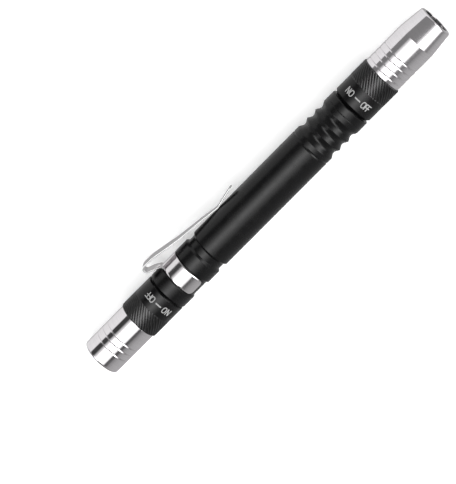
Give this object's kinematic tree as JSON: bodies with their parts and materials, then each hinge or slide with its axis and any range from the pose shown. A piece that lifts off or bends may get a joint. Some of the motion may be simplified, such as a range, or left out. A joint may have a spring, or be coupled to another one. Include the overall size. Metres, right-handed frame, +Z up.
{
  "type": "double-headed pen torch",
  "caption": "Slim metal pen torch for checking banknotes, with an ultraviolet head, a white head, knurled twist switches and a sprung pocket clip.",
  "frame": {"origin": "on the pen's axis, at the middle of the barrel's plain stretch", "axes": "+X along the pen towards the white head, +Y towards the pocket clip, +Z up with the pen lying on its side"},
  "size_m": [0.1476, 0.0182, 0.014],
  "materials": {
    "black_anodised": "satin",
    "bare_aluminium": "polished",
    "spring_steel": "polished",
    "brass": "satin",
    "black_rubber": "matte",
    "clear_lens": "gloss",
    "plated_reflector": "polished",
    "uv_lamp": "gloss",
    "white_lamp": "gloss",
    "black_plastic": "matte",
    "circuit_board": "satin",
    "ferrite": "matte",
    "cell_label": "satin",
    "plated_steel": "polished"
  },
  "bodies": {
    "barrel": {"barrel_tube": "black_anodised", "center_disc": "brass", "uv_cell_spring": "plated_steel", "white_cell_spring": "plated_steel", "uv_neck_seal": "black_rubber", "white_neck_seal": "black_rubber"},
    "clip_band": {"clip_band": "spring_steel"},
    "clip_tongue": {"clip_tongue": "spring_steel"},
    "uv_cell": {"uv_cell": "cell_label", "uv_cell_cap": "plated_steel"},
    "uv_head": {"uv_switch_ring": "black_anodised", "uv_bezel": "bare_aluminium", "uv_lens_seal": "black_rubber", "uv_lens": "clear_lens", "uv_reflector": "plated_reflector", "uv_led": "uv_lamp", "uv_led_holder": "black_plastic", "uv_spacer_sleeve": "black_plastic", "uv_board_cup": "black_plastic", "uv_driver_board": "circuit_board", "uv_contact_pad": "brass", "uv_inductor": "ferrite", "uv_driver_chip": "black_plastic"},
    "white_cell": {"white_cell": "cell_label", "white_cell_cap": "plated_steel"},
    "white_head": {"white_switch_ring": "black_anodised", "white_bezel": "bare_aluminium", "white_lens_seal": "black_rubber", "white_lens": "clear_lens", "white_reflector": "plated_reflector", "white_led": "white_lamp", "white_led_holder": "black_plastic", "white_spacer_sleeve": "black_plastic", "white_board_cup": "black_plastic", "white_driver_board": "circuit_board", "white_contact_pad": "brass", "white_inductor": "ferrite", "white_driver_chip": "black_plastic"}
  },
  "joints": [
    {"name": "clip_swivel", "type": "hinge", "parent": "barrel", "child": "clip_band", "pos_m": [-0.0332, 0, 0], "axis": [1, 0, 0], "continuous": true},
    {"name": "clip_flex", "type": "hinge", "parent": "clip_band", "child": "clip_tongue", "pos_m": [-0.0412, 0.00975, 0], "axis": [0, 0, 1], "range_deg": [0, 6], "stiffness_Nm_per_rad": 1.5, "springref_deg": -2.86},
    {"name": "uv_head_advance", "type": "slide", "parent": "barrel", "child": "uv_cell", "axis": [-1, 0, 0], "range_m": [0, 0.0045], "deforming": ["uv_cell_spring"]},
    {"name": "uv_head_twist", "type": "hinge", "parent": "uv_cell", "child": "uv_head", "pos_m": [-0.0514, 0, 0], "axis": [-1, 0, 0], "range_deg": [0, 2160.5]},
    {"name": "white_head_advance", "type": "slide", "parent": "barrel", "child": "white_cell", "axis": [1, 0, 0], "range_m": [-0.00019, 0.00431], "deforming": ["white_cell_spring"]},
    {"name": "white_head_twist", "type": "hinge", "parent": "white_cell", "child": "white_head", "pos_m": [0.0506, 0, 0], "axis": [1, 0, 0], "range_deg": [-90.5, 2070.5]}
  ],
  "couplings": [
    {"joint": "uv_head_twist", "follows": "uv_head_advance", "rad_per_m": 8377.6},
    {"joint": "white_head_twist", "follows": "white_head_advance", "rad_per_m": 8377.6}
  ]
}
